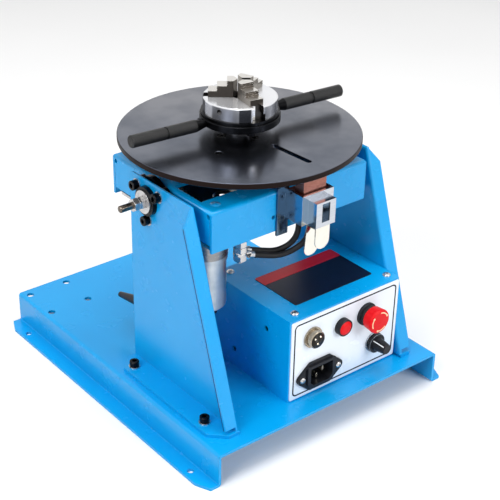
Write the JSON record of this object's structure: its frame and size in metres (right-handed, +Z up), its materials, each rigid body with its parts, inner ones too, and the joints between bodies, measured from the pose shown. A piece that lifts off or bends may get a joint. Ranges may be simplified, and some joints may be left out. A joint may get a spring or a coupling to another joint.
{
  "type": "welding positioner",
  "caption": "Bench welding positioner: motor-driven tilting turntable with a lever-scroll chuck on a bent-sheet stand, with a control box and a sprung earth brush.",
  "frame": {"origin": "centre of the four base bolt holes, on the underside of the base plate", "axes": "+Z up, +X right across the front, +Y towards the rear; the control panel faces -Y"},
  "size_m": [0.273, 0.314, 0.2781],
  "materials": {
    "blue_paint": "satin powder coat",
    "white_panel": "satin",
    "zinc_plate": "bright zinc",
    "black_oxide": "black oxide",
    "dark_steel": "blued, fine turned",
    "machined_steel": "turned",
    "chrome_steel": "polished",
    "brushed_gearbox": "brushed",
    "motor_grey": "satin",
    "black_plastic": "satin",
    "socket_metal": "plated",
    "contact_metal": "plated",
    "red_plastic": "gloss",
    "copper": "matt",
    "black_rubber": "matt",
    "circuit_board": "solder mask"
  },
  "bodies": {
    "base": {"base_plate": "blue_paint", "left_support": "blue_paint", "right_support": "blue_paint", "trunnion_hubs": "black_oxide", "m5_screws": "black_oxide", "m5_washers": "zinc_plate", "m5_nuts": "zinc_plate", "control_box": "blue_paint", "box_lid": "blue_paint", "m4_screws": "zinc_plate", "panel_plate": "white_panel", "mains_inlet": "black_plastic", "inlet_screws": "zinc_plate", "contact_pins": "contact_metal", "pedal_socket": "socket_metal", "lamp_bezel": "black_plastic", "lamp_lens": "red_plastic", "stop_switch": "black_plastic", "speed_potentiometer": "black_plastic", "power_supply": "circuit_board", "drive_board": "circuit_board"},
    "cradle": {"cradle_tray": "blue_paint", "motor_plate": "zinc_plate", "plate_pillars": "zinc_plate", "cradle_screws": "black_oxide", "cradle_nuts": "zinc_plate", "trunnion_pins": "zinc_plate", "trunnion_washers": "zinc_plate", "bearing_housing": "machined_steel", "spindle_bearings": "machined_steel", "gearbox_case": "brushed_gearbox", "gearbox_screws": "black_oxide", "motor_can": "motor_grey", "motor_boots": "black_rubber", "handle_rod": "zinc_plate", "handle_grip": "black_plastic", "brush_holder": "zinc_plate", "brush_sleeve": "black_plastic", "brush_clip": "zinc_plate", "brush_spring": "machined_steel", "earth_stud": "zinc_plate", "cable_ends": "zinc_plate", "pigtail_a": "black_rubber", "pigtail_b": "black_rubber"},
    "contact_brush": {"contact_brush": "copper"},
    "table": {"turntable": "dark_steel", "table_screws": "black_oxide", "spindle": "machined_steel", "driven_gear": "machined_steel", "chuck_hub": "machined_steel", "chuck_body": "chrome_steel"},
    "scroll": {"scroll_ring": "black_oxide", "lever_bars": "black_oxide"},
    "jaw_1": {"jaw_1": "chrome_steel"},
    "jaw_2": {"jaw_2": "chrome_steel"},
    "jaw_3": {"jaw_3": "chrome_steel"},
    "pinion": {"pinion": "machined_steel"},
    "stop_plunger": {"stop_plunger": "black_plastic"},
    "stop_button": {"stop_button": "red_plastic"},
    "speed_knob": {"speed_knob": "black_plastic"}
  },
  "joints": [
    {"name": "cradle_tilt", "type": "hinge", "parent": "base", "child": "cradle", "pos_m": [0, -0.0245, 0.1955], "axis": [-1, 0, 0], "range_deg": [0, 90]},
    {"name": "table_spin", "type": "hinge", "parent": "cradle", "child": "table", "pos_m": [0, -0.0245, 0.2], "axis": [0, 0, 1], "continuous": true},
    {"name": "pinion_spin", "type": "hinge", "parent": "cradle", "child": "pinion", "pos_m": [-0.05844, -0.05518, 0.183], "axis": [0, 0, 1], "continuous": true},
    {"name": "scroll_turn", "type": "hinge", "parent": "table", "child": "scroll", "pos_m": [0, -0.0245, 0.248], "axis": [0, 0, 1], "range_deg": [-144, 720]},
    {"name": "jaw_1_slide", "type": "slide", "parent": "table", "child": "jaw_1", "axis": [-0.1495, -0.9888, 0], "range_m": [-0.0021, 0.0101]},
    {"name": "jaw_2_slide", "type": "slide", "parent": "table", "child": "jaw_2", "axis": [0.9311, 0.3649, 0], "range_m": [-0.0021, 0.0101]},
    {"name": "jaw_3_slide", "type": "slide", "parent": "table", "child": "jaw_3", "axis": [-0.7815, 0.6239, 0], "range_m": [-0.0021, 0.0101]},
    {"name": "brush_slide", "type": "slide", "parent": "cradle", "child": "contact_brush", "axis": [0, 0, 1], "range_m": [-0.004, 0], "stiffness_N_per_m": 1000, "springref_m": 0.003, "deforming": ["brush_spring"]},
    {"name": "stop_press", "type": "slide", "parent": "base", "child": "stop_plunger", "axis": [0, 1, 0], "range_m": [0, 0.004]},
    {"name": "stop_twist", "type": "hinge", "parent": "stop_plunger", "child": "stop_button", "pos_m": [0.0518, -0.14, 0.0884], "axis": [0, 1, 0], "range_deg": [0, 35], "stiffness_Nm_per_rad": 0.02},
    {"name": "dial_turn", "type": "hinge", "parent": "base", "child": "speed_knob", "pos_m": [0.063, -0.14, 0.0559], "axis": [0, 1, 0], "range_deg": [-90, 210]}
  ],
  "couplings": [
    {"joint": "pinion_spin", "follows": "table_spin", "ratio": -3.8889},
    {"joint": "jaw_1_slide", "follows": "scroll_turn", "m_per_rad": 0.00079577},
    {"joint": "jaw_2_slide", "follows": "scroll_turn", "m_per_rad": 0.00079577},
    {"joint": "jaw_3_slide", "follows": "scroll_turn", "m_per_rad": 0.00079577}
  ]
}
